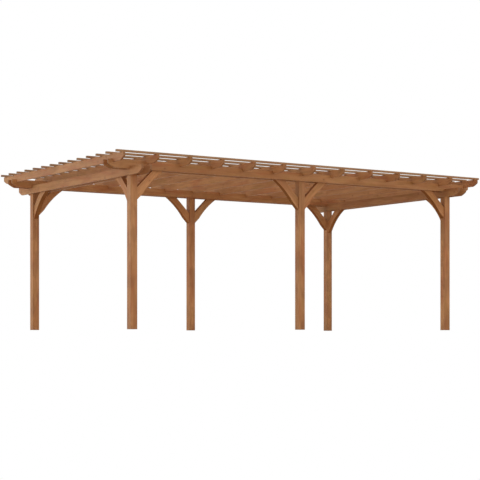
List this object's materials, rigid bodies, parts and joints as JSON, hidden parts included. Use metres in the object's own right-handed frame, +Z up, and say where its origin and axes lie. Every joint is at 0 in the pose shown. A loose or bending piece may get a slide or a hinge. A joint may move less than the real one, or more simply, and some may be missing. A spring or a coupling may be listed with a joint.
{
  "type": "wooden pergola",
  "caption": "Free-standing wooden pergola: square posts, doubled beams, notched rafters with shaped tails, slats on top and curved knee braces.",
  "frame": {"origin": "on the ground, in the middle of the plan", "axes": "+X along the long side, to the right seen from the front; +Y across, to the back row; +Z up"},
  "size_m": [7.312, 4.393, 2.706],
  "materials": {
    "posts": "oiled, cinnamon-brown stained softwood, planed square",
    "beams": "oiled, cinnamon-brown stained softwood board",
    "rafters": "oiled, cinnamon-brown stained softwood board",
    "slats": "oiled, cinnamon-brown stained softwood batten",
    "braces": "oiled, cinnamon-brown stained softwood, band-sawn curve"
  },
  "bodies": {
    "root": {"back_beam_inner": "beams", "back_beam_outer": "beams", "back_left_post": "posts", "back_middle_post": "posts", "back_right_post": "posts", "back_row_braces": "braces", "front_beam_inner": "beams", "front_beam_outer": "beams", "front_left_post": "posts", "front_middle_post": "posts", "front_right_post": "posts", "front_row_braces": "braces", "left_end_beam_inner": "beams", "left_end_beam_outer": "beams", "left_end_braces": "braces", "rafter_01": "rafters", "rafter_02": "rafters", "rafter_03": "rafters", "rafter_04": "rafters", "rafter_05": "rafters", "rafter_06": "rafters", "rafter_07": "rafters", "rafter_08": "rafters", "rafter_09": "rafters", "rafter_10": "rafters", "rafter_11": "rafters", "rafter_12": "rafters", "rafter_13": "rafters", "right_end_beam_inner": "beams", "right_end_beam_outer": "beams", "right_end_braces": "braces", "slat_01": "slats", "slat_02": "slats", "slat_03": "slats", "slat_04": "slats", "slat_05": "slats", "slat_06": "slats", "slat_07": "slats", "slat_08": "slats", "slat_09": "slats", "slat_10": "slats", "slat_11": "slats", "slat_12": "slats", "slat_13": "slats", "slat_14": "slats"}
  },
  "joints": []
}
